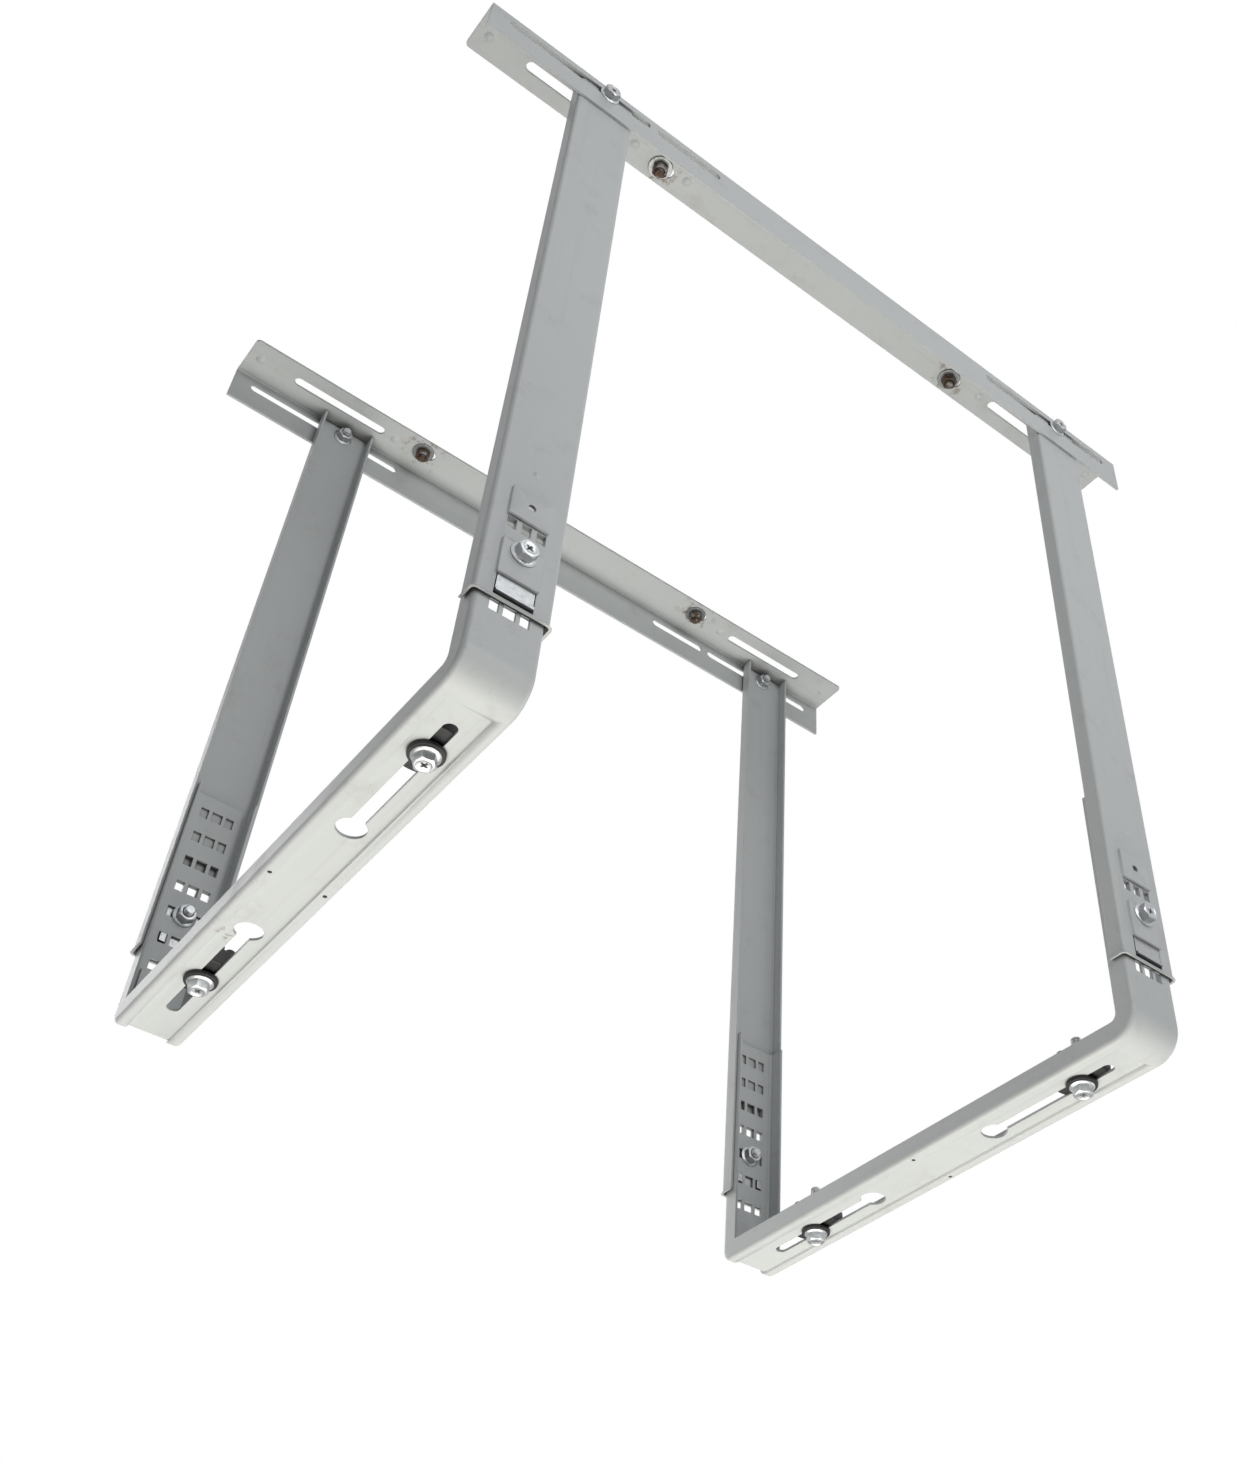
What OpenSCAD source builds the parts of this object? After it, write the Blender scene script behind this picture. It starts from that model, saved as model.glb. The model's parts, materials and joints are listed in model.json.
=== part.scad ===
// Ceiling hanging bracket for an air conditioner outdoor unit.
// Two angle rails bolt to the ceiling. Four channel legs hang from the rails, and two U-shaped
// arms slide up inside the legs, are locked at a row of square holes, and carry the unit's feet
// on rubber pads. The origin is in the ceiling plane, in the middle of the rails; the frame
// hangs down to -Z, and its front faces -Y.

/* [Ceiling rails] */
// Length of a rail
rail_l = 744; // [700:1:900]
// Depth over both rails, front face to rear face
frame_d = 470; // [420:1:600]
// Width of the flange that lies on the ceiling
rail_w = 46; // [44:0.5:60]
// Height of the flange that hangs down
rail_h = 43; // [36:0.5:60]
// Sheet thickness of a rail
rail_t = 2.3; // [1.6:0.1:3]
// Outer radius of the rail's bend
rail_bend_r = 3.6; // [3.2:0.1:5]
// Radius of the free corners of the ceiling flange
rail_corner_r = 4; // [2:0.5:8]
// Distance of a ceiling hole from the rail's end
anchor_end = 197; // [186:1:230]
// Distance of the ceiling holes from the rail's outer face
anchor_inset = 31; // [28:0.5:33]
// Width of a ceiling hole
anchor_w = 12; // [8:0.5:13]
// Length of a ceiling hole along the rail
anchor_l = 20; // [16:0.5:26]
// Distance of the leg bolts below the ceiling
clamp_drop = 15; // [14:0.5:20]
// Width of the slots that the leg bolts slide in
clamp_slot_w = 9; // [8.6:0.1:10]
// Distance of the leg bolt slots from the rail's ends
clamp_slot_end = 18; // [10:1:24]
// Length of the left leg bolt slot
left_slot_l = 143; // [130:1:150]
// Length of the right leg bolt slot
right_slot_l = 163; // [130:1:175]
// Length of the spare slot beside the left one
spare_slot_l = 68; // [20:1:90]
// Bridge of sheet between the left slot and the spare one
slot_bridge = 8; // [4:1:12]
// Width of the long slots in the ceiling flange
flange_slot_w = 9.5; // [6:0.5:11]
// Distance of the long slots in the ceiling flange from the rail's ends
flange_slot_end = 50; // [30:1:54]
// Length of a long slot in the ceiling flange
flange_slot_l = 100; // [60:1:104]
// Distance of the long slots from the rail's outer face
flange_slot_inset = 27; // [24:0.5:30]
// Distances of the pressed dimples from a rail's left end
left_dimples = [13, 163, 220];
// Distances of the pressed dimples from a rail's right end
right_dimples = [163, 13];
// Width of a pressed dimple
dimple_d = 10; // [6:0.5:11]
// Depth of a pressed dimple
dimple_h = 2; // [0.8:0.1:2.2]

/* [Legs] */
// Distance of the left legs from the rails' ends
left_hanger_gap = 118; // [60:1:145]
// Distance of the right legs from the rails' ends
right_hanger_gap = 84; // [60:1:145]
// Outer width of a leg
leg_w = 53.6; // [50:0.1:60]
// Depth of a leg's channel
leg_depth = 13.5; // [12:0.5:15]
// Sheet thickness of a leg
leg_t = 2; // [1.5:0.1:2.3]
// Outer radius of a leg's long edges
leg_edge_r = 3; // [2.5:0.1:4]
// Length of a leg
leg_l = 653; // [500:1:900]
// Gap between a leg's top and the ceiling
leg_top_gap = 4; // [3.8:0.1:8]
// Diameter of the bolt holes in a leg
leg_hole_d = 9; // [8.6:0.1:9.5]
// Height of the flared lip at a leg's lower end
lip_h = 3; // [2:0.5:5]
// Reach of the flared lip
lip_out = 1.6; // [0.8:0.1:2]
// Height of the lock bolt above a leg's lower end
lock_up = 44; // [42:0.5:60]
// Width of the pressed pads on a leg
press_pad_w = 29; // [28.8:0.1:32]
// Side wall of a pressed pad, drawn thinner than the sheet
press_wall = 1.3; // [1:0.1:1.3]
// Height of the upper pressed pad
guide_pad_h = 26; // [20:0.5:28]
// Diameter of the hole in the upper pressed pad
guide_hole_d = 5.5; // [3:0.5:8]
// Distance of that hole from the pad's lower edge
guide_hole_up = 11; // [8:0.5:12]
// Diameter of the small stud pressed out of a leg
nib_d = 6; // [4:0.5:8]
// Height that the pressed stud stands out
nib_h = 1.2; // [0.6:0.1:2]
// Distance of the pressed stud above the upper pad
nib_gap = 22; // [8:1:60]

/* [Lock plates] */
// Width of a lock plate
lock_w = 26; // [24.5:0.1:26.2]
// How much thicker a lock plate is than a leg's sheet
lock_proud = 0.2; // [0.1:0.1:0.3]
// Height of a lock plate
lock_l = 45; // [44:0.5:46]
// Distance of the bolt hole from a lock plate's top
lock_hole_down = 6; // [5.8:0.1:7]
// Clearance round a lock plate's teeth
tooth_fit = 1; // [0.8:0.05:1.4]
// Depth of a lock plate's teeth behind its face
tooth_l = 3.2; // [2.2:0.1:5]
// Reach of the lock plate's turned lower edge
lock_lip = 1.8; // [1:0.1:2]

/* [Arms] */
// Side clearance between an arm and the legs round it
arm_fit = 0.3; // [0.2:0.05:0.6]
// Sheet thickness of an arm
arm_t = 2; // [1.5:0.1:2.5]
// Height of an arm's flanges
arm_flange = 16; // [14:0.5:20]
// Outer radius of an arm's long edges
arm_edge_r = 3.5; // [3:0.1:4.5]
// Outer radius of the front bend
bend_front_r = 22; // [21:0.5:30]
// Outer radius of the rear bend
bend_rear_r = 10; // [8:0.5:14]
// Width of the panel pressed up along an arm
panel_w = 31; // [26:0.5:33]
// Depth of the panel pressed up along an arm
panel_d = 2; // [1:0.1:2.5]
// Start of the pressed panel, behind the arm's front bend
panel_start = 2; // [1:0.5:6]
// Width of the foot slots
key_w = 9.5; // [8.6:0.1:10]
// Diameter of the round end of a foot slot
key_d = 20; // [16:0.5:22]
// Outer end of a foot slot, from the frame's front or rear face
key_near = 53; // [48:1:60]
// Centre of the round end of a foot slot, from the same face
key_far = 167; // [140:1:190]
// Diameter of the small drain holes
drain_d = 3; // [2:0.5:4]

/* [Height rows] */
// Height of the lowest row of square holes above an arm's underside
row_first = 58; // [56:1:64]
// Distance between rows
row_pitch = 24; // [23.5:0.5:26]
// Number of rows on a riser
row_count = 7; // [5:1:7]
// Row that the lock bolt uses, counted from 0
row_used = 2; // [2:1:3]
// Width of the outer holes of a row
square_w = 6.5; // [6:0.1:7]
// Height of the holes of a row
square_h = 9; // [8.6:0.1:10]
// Width of the middle hole of a row
square_mid_w = 8.6; // [8.4:0.1:9]
// Distance of the outer holes from the middle one
square_pitch = 10.5; // [10:0.1:11]
// Height of a riser's end above the middle of its top row
riser_end = 17; // [10:0.5:30]

/* [Feet] */
// Distance of the front feet from the frame's front face
foot_front = 78.5; // [76:0.5:110]
// Distance of the rear feet from the frame's rear face
foot_rear = 97; // [76:0.5:110]
// Clearance between a rubber pad and the arm's flanges
pad_fit = 0.5; // [0.3:0.1:2]
// Height of a rubber pad with its knobs
pad_h = 16; // [12:0.5:17]
// Height of a rubber pad's knobs
knob_h = 4; // [2:0.5:5]
// Diameter of the boss in a rubber pad's middle
pad_boss_d = 17; // [14:0.5:18]
// Number of knobs in the outer ring
knobs_outer = 12; // [8:1:14]
// Number of knobs in the inner ring
knobs_inner = 8; // [5:1:9]
// Diameter of a knob in the outer ring
knob_d = 7.4; // [5:0.2:8]
// Distance of the outer knobs from a rubber pad's rim
knob_inset = 0.4; // [0.2:0.1:1]
// Diameter of a knob in the inner ring
knob_inner_d = 5; // [3:0.2:5.4]
// Clearance between a foot bolt and the rubber round it
pad_hole_fit = 0.3; // [0.1:0.1:1]
// Diameter of the washer under an arm
foot_washer_d = 23; // [20:0.5:25.5]
// Thickness of the washer under an arm
foot_washer_t = 3; // [2:0.5:4]
// Diameter of a foot bolt up to its nut's top, where the threads engage
foot_core_d = 7.6; // [7:0.1:7.6]
// Thread of a foot bolt that stands out of its nut
foot_stud_l = 11; // [8:0.5:20]

/* [Fasteners] */
// Thread diameter of the bolts
bolt_d = 8; // [7:0.1:8.2]
// Width across the flats of bolt heads and nuts
hex_af = 13; // [12:0.5:14]
// Height of a bolt head above its flange
head_h = 6; // [4:0.5:7]
// Diameter of the flange under bolt heads and nuts
seat_d = 18.5; // [17:0.5:20]
// Thickness of the flange under bolt heads and nuts
seat_t = 1.5; // [1:0.1:2]
// Height of a nut above its flange
nut_h = 6.5; // [5:0.5:8]
// Clearance between a bolt and its nut
thread_fit = 0.05; // [0.03:0.01:0.15]
// Thread that stands out of a clamping nut
thread_spare = 4; // [2:0.5:10]
// Chamfer at the end of a bolt
bolt_chamfer = 1; // [0.5:0.1:1.5]

/* [Hidden] */

left = -1;
right = 1;
front = -1;
rear = 1;

paint = [0.77, 0.80, 0.81];
zinc = [0.72, 0.73, 0.74];
rubber = [0.09, 0.09, 0.10];

// Overshoot of a cut beyond the face that it opens
over = 1;
// Clearance round a lock plate in its pocket, and beside it in its window
pocket_fit = 0.2;
window_fit = 0.75;
// Flat sheet left between a row of holes and a pressed edge near it
row_margin = 1.5;
panel_margin = 3;
drain_margin = 0.3;
// How far the window's top edge stands above the middle of its row
window_up = 0.5;
// Chamfer at the top of a hexagon, and the cone at its foot
hex_chamfer = 1;
hex_chamfer_drop = 1.5;
hex_foot = 0.5;
round_fn = 48;
small_fn = 32;

// Depths behind the rail's outer face: each sheet lies on the one before it
lock_t = leg_t + lock_proud;
leg_y = rail_t;
riser_y = leg_y + leg_t;
plate_y = riser_y - lock_t;
press_y = plate_y - leg_t;
nut_y = riser_y + arm_t;

// Heights, down from the ceiling plane
leg_top_z = -leg_top_gap;
leg_foot_z = leg_top_z - leg_l;
lock_z = leg_foot_z + lock_up;
arm_z = lock_z - row_first - row_used * row_pitch;
panel_z = arm_z + panel_d;
floor_z = panel_z + arm_t;

arm_w = leg_w - 2 * leg_t - 2 * arm_fit;
arm_len = frame_d - 2 * riser_y;
riser_h = row_first + (row_count - 1) * row_pitch + riser_end;
panel_top_z = arm_z + row_first - square_h / 2 - arm_t - panel_margin;
drain_x = panel_w / 2 + arm_t + drain_d / 2 + drain_margin;

pad_d = arm_w - 2 * arm_t - 2 * pad_fit;
foot_seat_z = panel_z - foot_washer_t;
foot_nut_z = floor_z + pad_h;
foot_hole_d = foot_core_d + 2 * pad_hole_fit;

// Leg openings, from the row that they line up with
guide_row_z = lock_z + row_pitch;
press_top_z = lock_z + lock_hole_down + press_wall + pocket_fit;
window_top_z = lock_z - row_pitch + window_up;
window_w = lock_w + 2 * window_fit;
window_foot_z = leg_foot_z + lip_h;
guide_foot_z = guide_row_z + square_h / 2 + row_margin;
guide_hole_z = guide_foot_z + guide_hole_d / 2 + guide_hole_up;
guide_top_z = guide_foot_z + guide_pad_h;
nib_z = guide_top_z + nib_gap;

// Places along a rail, from its middle
dimple_xs = [for (gap = left_dimples) gap - rail_l / 2, for (gap = right_dimples) rail_l / 2 - gap];
left_slot_x = clamp_slot_end - rail_l / 2;
spare_slot_x = left_slot_x + left_slot_l + slot_bridge;
right_slot_x = rail_l / 2 - clamp_slot_end - right_slot_l;

function hanger_x(side) = side == left ? left_hanger_gap - rail_l / 2 : rail_l / 2 - right_hanger_gap;
function foot_y(end) = end == front ? foot_front - frame_d / 2 : frame_d / 2 - foot_rear;

// Filled outline of a channel: its back lies on the X axis and has two round corners
module channel_blank(w, d, r) {
    translate([r - w / 2, 0]) square([w - 2 * r, d]);
    translate([-w / 2, r]) square([w, d - r]);
    for (s = [-1, 1]) translate([s * (w / 2 - r), r]) circle(r, $fn = small_fn);
}

// Section of a channel bent from sheet
module channel_section(w, d, t, r) {
    difference() {
        channel_blank(w, d, r);
        translate([0, t]) channel_blank(w - 2 * t, d, r - t);
    }
}

// Slot along X, given by the places of its two ends
module slot(from, to, w, depth) {
    linear_extrude(depth) {
        translate([from + w / 2, 0]) circle(d = w, $fn = small_fn);
        translate([to - w / 2, 0]) circle(d = w, $fn = small_fn);
        translate([from + w / 2, -w / 2]) square([to - from - w, w]);
    }
}

// A straight run of a section, whose outward side faces the angle a in the XY plane
module straight_run(at, a, length) {
    translate([at.x, at.y, 0]) rotate(a) rotate([90, 0, 0]) linear_extrude(length) children();
}

// A quarter turn of a section about the point at, starting at the angle a
module quarter_turn(at, a, r) {
    translate([at.x, at.y, 0]) rotate(a) rotate_extrude(angle = 90, $fn = round_fn) translate([r, 0]) children();
}

// A low dome on the XY plane
module dome(d, h) {
    r = (d * d / 4 + h * h) / (2 * h);
    rotate_extrude($fn = small_fn) intersection() {
        translate([0, h - r]) circle(r, $fn = round_fn);
        square([d, h]);
    }
}

// Angle rail, with its outer face on the XZ plane and its ceiling flange reaching to +Y
module rail_section() {
    difference() {
        square([rail_w, rail_h]);
        translate([rail_t, rail_t]) square([rail_w, rail_h]);
        square(rail_bend_r);
    }
    translate([rail_bend_r, rail_bend_r]) intersection() {
        difference() {
            circle(rail_bend_r, $fn = small_fn);
            circle(rail_bend_r - rail_t, $fn = small_fn);
        }
        translate([-rail_bend_r, -rail_bend_r]) square(rail_bend_r);
    }
}

module rail() {
    color(paint) difference() {
        union() {
            translate([rail_l / 2, 0, 0]) rotate([-90, 0, 90]) linear_extrude(rail_l) rail_section();
            for (x = dimple_xs) translate([x, flange_slot_inset, -rail_t]) mirror([0, 0, 1]) dome(dimple_d, dimple_h);
        }
        for (x = dimple_xs) translate([x, flange_slot_inset, 0]) mirror([0, 0, 1]) dome(dimple_d, dimple_h);
        for (side = [0, 1]) mirror([side, 0, 0]) flange_openings();
        translate([0, rail_t + over, -clamp_drop]) rotate([90, 0, 0]) clamp_slots();
    }
}

// Openings in one half of a rail's ceiling flange, and the rounding of its free corner
module flange_openings() {
    cut_h = rail_t + 2 * over;
    translate([0, 0, -rail_t - over]) {
        translate([rail_l / 2 - anchor_end, anchor_inset, 0]) slot(-anchor_l / 2, anchor_l / 2, anchor_w, cut_h);
        translate([rail_l / 2 - flange_slot_end - flange_slot_l, flange_slot_inset, 0])
            slot(0, flange_slot_l, flange_slot_w, cut_h);
        translate([rail_l / 2 - rail_corner_r, rail_w - rail_corner_r, 0]) linear_extrude(cut_h) difference() {
            square(rail_corner_r + over);
            circle(rail_corner_r, $fn = small_fn);
        }
    }
}

// Slots in a rail's hanging flange, drawn along X through a sheet that lies on the XY plane
module clamp_slots() {
    cut_h = rail_t + 2 * over;
    slot(left_slot_x, left_slot_x + left_slot_l, clamp_slot_w, cut_h);
    slot(spare_slot_x, spare_slot_x + spare_slot_l, clamp_slot_w, cut_h);
    slot(right_slot_x, right_slot_x + right_slot_l, clamp_slot_w, cut_h);
}

// A pad pressed out of a leg's back: filled outside, and its pocket
module press_blank(foot, top) {
    translate([-press_pad_w / 2, press_y, foot]) cube([press_pad_w, leg_t + lock_t, top - foot]);
}

module press_pocket(foot, top) {
    w = press_pad_w - 2 * press_wall;
    translate([-w / 2, press_y + leg_t, foot]) cube([w, lock_t + over, top - press_wall - foot]);
}

// Section of the flared lip: the sheet leans outwards down to its edge
module lip_section() {
    polygon([[-leg_t, lip_h], [0, lip_h], [lip_out, 0], [lip_out - leg_t, 0]]);
}

module flared_lip() {
    half = leg_w / 2;
    r = leg_edge_r;
    translate([0, 0, leg_foot_z]) {
        straight_run([-half, leg_y + r], 180, leg_depth - r) lip_section();
        quarter_turn([r - half, leg_y + r], 180, r) lip_section();
        straight_run([half - r, leg_y], 270, leg_w - 2 * r) lip_section();
        quarter_turn([half - r, leg_y + r], 270, r) lip_section();
        straight_run([half, leg_y + leg_depth], 0, leg_depth - r) lip_section();
    }
}

// Three holes side by side through a sheet that lies from y = 0 to its thickness t
module hole_row(mid_w, t) {
    for (i = [-1, 0, 1]) {
        w = i == 0 ? mid_w : square_w;
        translate([i * square_pitch - w / 2, -over, -square_h / 2]) cube([w, t + 2 * over, square_h]);
    }
}

// Round hole along Y, from y = 0 to the depth t
module cross_hole(d, t) {
    rotate([-90, 0, 0]) translate([0, 0, -over]) cylinder(h = t + 2 * over, d = d, $fn = small_fn);
}

module leg() {
    color(paint) difference() {
        union() {
            translate([0, leg_y, window_foot_z]) linear_extrude(leg_l - lip_h)
                channel_section(leg_w, leg_depth, leg_t, leg_edge_r);
            flared_lip();
            press_blank(guide_foot_z, guide_top_z);
            press_blank(window_top_z, press_top_z);
            translate([0, leg_y, nib_z]) rotate([90, 0, 0]) dome(nib_d, nib_h);
        }
        press_pocket(guide_foot_z, guide_top_z);
        press_pocket(window_top_z - over, press_top_z);
        translate([-window_w / 2, leg_y - over, window_foot_z])
            cube([window_w, leg_t + 2 * over, window_top_z - window_foot_z]);
        translate([0, leg_y, guide_row_z]) hole_row(square_w, leg_t);
        translate([0, press_y, guide_hole_z]) cross_hole(guide_hole_d, leg_t);
        translate([0, press_y, lock_z]) cross_hole(leg_hole_d, leg_t);
        translate([0, leg_y, -clamp_drop]) cross_hole(leg_hole_d, leg_t);
    }
}

// Plate behind a leg's lower pad, with two teeth in the arm's holes
module lock_plate() {
    top_z = lock_z + lock_hole_down;
    tooth_w = square_w - 2 * tooth_fit;
    tooth_h = square_h - 2 * tooth_fit;
    color(zinc) {
        difference() {
            union() {
                translate([-lock_w / 2, plate_y, top_z - lock_l]) cube([lock_w, lock_t, lock_l]);
                translate([-lock_w / 2, plate_y - lock_lip, top_z - lock_l])
                    cube([lock_w, lock_lip + lock_t, lock_t]);
            }
            translate([0, plate_y, lock_z]) cross_hole(leg_hole_d, lock_t);
        }
        for (s = [-1, 1])
            translate([s * square_pitch - tooth_w / 2, riser_y, lock_z - row_pitch - tooth_h / 2])
                cube([tooth_w, tooth_l, tooth_h]);
    }
}

// Sections of an arm's sheet, outward side to +X: plain, with the panel's end wall, and pressed
module arm_plain() {
    rotate(90) channel_section(arm_w, arm_flange, arm_t, arm_edge_r);
}

module arm_wall() {
    arm_plain();
    w = panel_w + 2 * arm_t;
    translate([-panel_d - arm_t, -w / 2]) square([panel_d + arm_t, w]);
}

module arm_pressed() {
    difference() {
        arm_wall();
        translate([-panel_d, -panel_w / 2]) square([panel_d + over, panel_w]);
    }
}

// The bent sheet, drawn with Y along X and Z along Y
module arm_sheet() {
    half = arm_len / 2;
    top_z = arm_z + riser_h;
    start = bend_front_r + panel_start - half;
    rear_bend = half - bend_rear_r;
    straight_run([-half, arm_z + bend_front_r], 180, riser_h - bend_front_r) arm_plain();
    quarter_turn([bend_front_r - half, arm_z + bend_front_r], 180, bend_front_r) arm_plain();
    straight_run([start, arm_z], 270, panel_start) arm_plain();
    straight_run([start + arm_t, arm_z], 270, arm_t) arm_wall();
    straight_run([rear_bend, arm_z], 270, rear_bend - start - arm_t) arm_pressed();
    quarter_turn([rear_bend, arm_z + bend_rear_r], 270, bend_rear_r) intersection() {
        arm_pressed();
        translate([-bend_rear_r, -arm_w]) square([bend_rear_r + over, 2 * arm_w]);
    }
    straight_run([half, panel_top_z], 0, panel_top_z - arm_z - bend_rear_r) arm_pressed();
    straight_run([half, panel_top_z + arm_t], 0, arm_t) arm_wall();
    straight_run([half, top_z], 0, top_z - panel_top_z - arm_t) arm_plain();
}

// Foot slot along Y with a round end that a bolt head passes
module keyhole() {
    cut_h = panel_d + arm_t + 2 * over;
    translate([0, 0, arm_z - over]) {
        rotate(90) slot(key_near - key_w / 2, key_far, key_w, cut_h);
        translate([0, key_far, 0]) cylinder(h = cut_h, d = key_d, $fn = round_fn);
    }
}

module arm() {
    color(paint) difference() {
        rotate([90, 0, 90]) arm_sheet();
        for (end = [front, rear]) at_end(end) {
            keyhole();
            for (k = [0 : row_count - 1])
                translate([0, riser_y, arm_z + row_first + k * row_pitch]) hole_row(square_mid_w, arm_t);
        }
        for (s = [-1, 1])
            translate([s * drain_x, 0, arm_z - over]) cylinder(h = arm_t + 2 * over, d = drain_d, $fn = small_fn);
    }
}

// Flange and hexagon of a bolt head or nut, from z = 0 up, with the hexagon h high
module hex_body(h) {
    corner = hex_af / cos(30);
    cone_h = seat_t + hex_foot;
    rotate_extrude($fn = round_fn)
        polygon([[0, 0], [seat_d / 2, 0], [seat_d / 2, seat_t / 2], [hex_af / 2, cone_h], [0, cone_h]]);
    intersection() {
        translate([0, 0, seat_t / 2]) cylinder(h = h + seat_t / 2, d = corner, $fn = 6);
        rotate_extrude($fn = round_fn) polygon([
            [0, 0],
            [corner / 2 + hex_chamfer, 0],
            [corner / 2 + hex_chamfer, seat_t + h - hex_chamfer_drop],
            [hex_af / 2 - hex_chamfer / 2, seat_t + h],
            [0, seat_t + h]
        ]);
    }
}

// Bolt with its seat at z = 0, its head below and its thread above
module bolt(length, core_d, core_l) {
    color(zinc) {
        mirror([0, 0, 1]) hex_body(head_h);
        cylinder(h = core_l, d = core_d, $fn = small_fn);
        translate([0, 0, core_l]) cylinder(h = length - core_l - bolt_chamfer, d = bolt_d, $fn = small_fn);
        translate([0, 0, length - bolt_chamfer])
            cylinder(h = bolt_chamfer, r1 = bolt_d / 2, r2 = bolt_d / 2 - bolt_chamfer, $fn = small_fn);
    }
}

module nut(bore_d) {
    color(zinc) difference() {
        hex_body(nut_h);
        translate([0, 0, -over]) cylinder(h = seat_t + nut_h + 2 * over, d = bore_d, $fn = small_fn);
    }
}

// Bolts and nuts that clamp along Y, from the leg's outer side
module clamp_bolt(seat_y, z, nut_seat_y) {
    length = nut_seat_y - seat_y + seat_t + nut_h + thread_spare;
    translate([0, seat_y, z]) rotate([-90, 0, 0]) bolt(length, bolt_d, length / 2);
}

module clamp_nut(seat_y, z) {
    translate([0, seat_y, z]) rotate([-90, 0, 0]) nut(bolt_d + 2 * thread_fit);
}

// Rubber pad on an arm's floor, with rings of round knobs
module pad() {
    base_h = pad_h - knob_h;
    outer_r = (pad_d - knob_d) / 2 - knob_inset;
    inner_r = (pad_boss_d / 2 + outer_r - knob_d / 2) / 2;
    color(rubber) translate([0, 0, floor_z]) difference() {
        union() {
            cylinder(h = base_h, d = pad_d, $fn = round_fn);
            cylinder(h = pad_h, d = pad_boss_d, $fn = round_fn);
            translate([0, 0, base_h]) {
                knob_ring(knobs_outer, outer_r, knob_d);
                knob_ring(knobs_inner, inner_r, knob_inner_d);
            }
        }
        translate([0, 0, -over]) cylinder(h = pad_h + 2 * over, d = foot_hole_d, $fn = small_fn);
    }
}

module knob_ring(n, r, d) {
    for (i = [0 : n - 1]) rotate(i * 360 / n) translate([r, 0, 0]) cylinder(h = knob_h, d = d, $fn = small_fn);
}

module foot_bolt() {
    core_l = foot_nut_z + seat_t + nut_h - foot_seat_z;
    translate([0, 0, foot_seat_z]) bolt(core_l + foot_stud_l, foot_core_d, core_l);
}

module foot_nut() {
    translate([0, 0, foot_nut_z]) nut(foot_core_d + 2 * thread_fit);
}

module foot_washer() {
    color(rubber) translate([0, 0, foot_seat_z]) difference() {
        cylinder(h = foot_washer_t, d = foot_washer_d, $fn = round_fn);
        translate([0, 0, -over]) cylinder(h = foot_washer_t + 2 * over, d = foot_hole_d, $fn = small_fn);
    }
}

module rail_bolt() {
    clamp_bolt(0, -clamp_drop, riser_y);
}

module rail_nut() {
    clamp_nut(riser_y, -clamp_drop);
}

module height_bolt() {
    clamp_bolt(press_y, lock_z, nut_y);
}

module height_nut() {
    clamp_nut(nut_y, lock_z);
}

// Places a piece drawn from the rail's outer face inwards at the frame's front or rear
module at_end(end) {
    rotate(end == front ? 0 : 180) translate([0, -frame_d / 2, 0]) children();
}

module at_corner(side, end) {
    translate([hanger_x(side), 0, 0]) at_end(end) children();
}

module at_foot(side, end) {
    translate([hanger_x(side), foot_y(end), 0]) children();
}

at_end(front) rail();  // front_rail
at_end(rear) rail();  // rear_rail
at_corner(left, front) leg();  // left_front_leg
at_corner(right, front) leg();  // right_front_leg
at_corner(left, rear) leg();  // left_rear_leg
at_corner(right, rear) leg();  // right_rear_leg
translate([hanger_x(left), 0, 0]) arm();  // left_arm
translate([hanger_x(right), 0, 0]) arm();  // right_arm
at_corner(left, front) lock_plate();  // left_front_lock_plate
at_corner(right, front) lock_plate();  // right_front_lock_plate
at_corner(left, rear) lock_plate();  // left_rear_lock_plate
at_corner(right, rear) lock_plate();  // right_rear_lock_plate
at_corner(left, front) height_bolt();  // left_front_height_bolt
at_corner(right, front) height_bolt();  // right_front_height_bolt
at_corner(left, rear) height_bolt();  // left_rear_height_bolt
at_corner(right, rear) height_bolt();  // right_rear_height_bolt
at_corner(left, front) height_nut();  // left_front_height_nut
at_corner(right, front) height_nut();  // right_front_height_nut
at_corner(left, rear) height_nut();  // left_rear_height_nut
at_corner(right, rear) height_nut();  // right_rear_height_nut
at_corner(left, front) rail_bolt();  // left_front_rail_bolt
at_corner(right, front) rail_bolt();  // right_front_rail_bolt
at_corner(left, rear) rail_bolt();  // left_rear_rail_bolt
at_corner(right, rear) rail_bolt();  // right_rear_rail_bolt
at_corner(left, front) rail_nut();  // left_front_rail_nut
at_corner(right, front) rail_nut();  // right_front_rail_nut
at_corner(left, rear) rail_nut();  // left_rear_rail_nut
at_corner(right, rear) rail_nut();  // right_rear_rail_nut
at_foot(left, front) pad();  // left_front_pad
at_foot(right, front) pad();  // right_front_pad
at_foot(left, rear) pad();  // left_rear_pad
at_foot(right, rear) pad();  // right_rear_pad
at_foot(left, front) foot_bolt();  // left_front_foot_bolt
at_foot(right, front) foot_bolt();  // right_front_foot_bolt
at_foot(left, rear) foot_bolt();  // left_rear_foot_bolt
at_foot(right, rear) foot_bolt();  // right_rear_foot_bolt
at_foot(left, front) foot_washer();  // left_front_foot_washer
at_foot(right, front) foot_washer();  // right_front_foot_washer
at_foot(left, rear) foot_washer();  // left_rear_foot_washer
at_foot(right, rear) foot_washer();  // right_rear_foot_washer
at_foot(left, front) foot_nut();  // left_front_foot_nut
at_foot(right, front) foot_nut();  // right_front_foot_nut
at_foot(left, rear) foot_nut();  // left_rear_foot_nut
at_foot(right, rear) foot_nut();  // right_rear_foot_nut
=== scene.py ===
"""Finish of a ceiling hanging bracket: painted steel sheet, zinc fasteners, rubber pads and ceiling anchors."""

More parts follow.
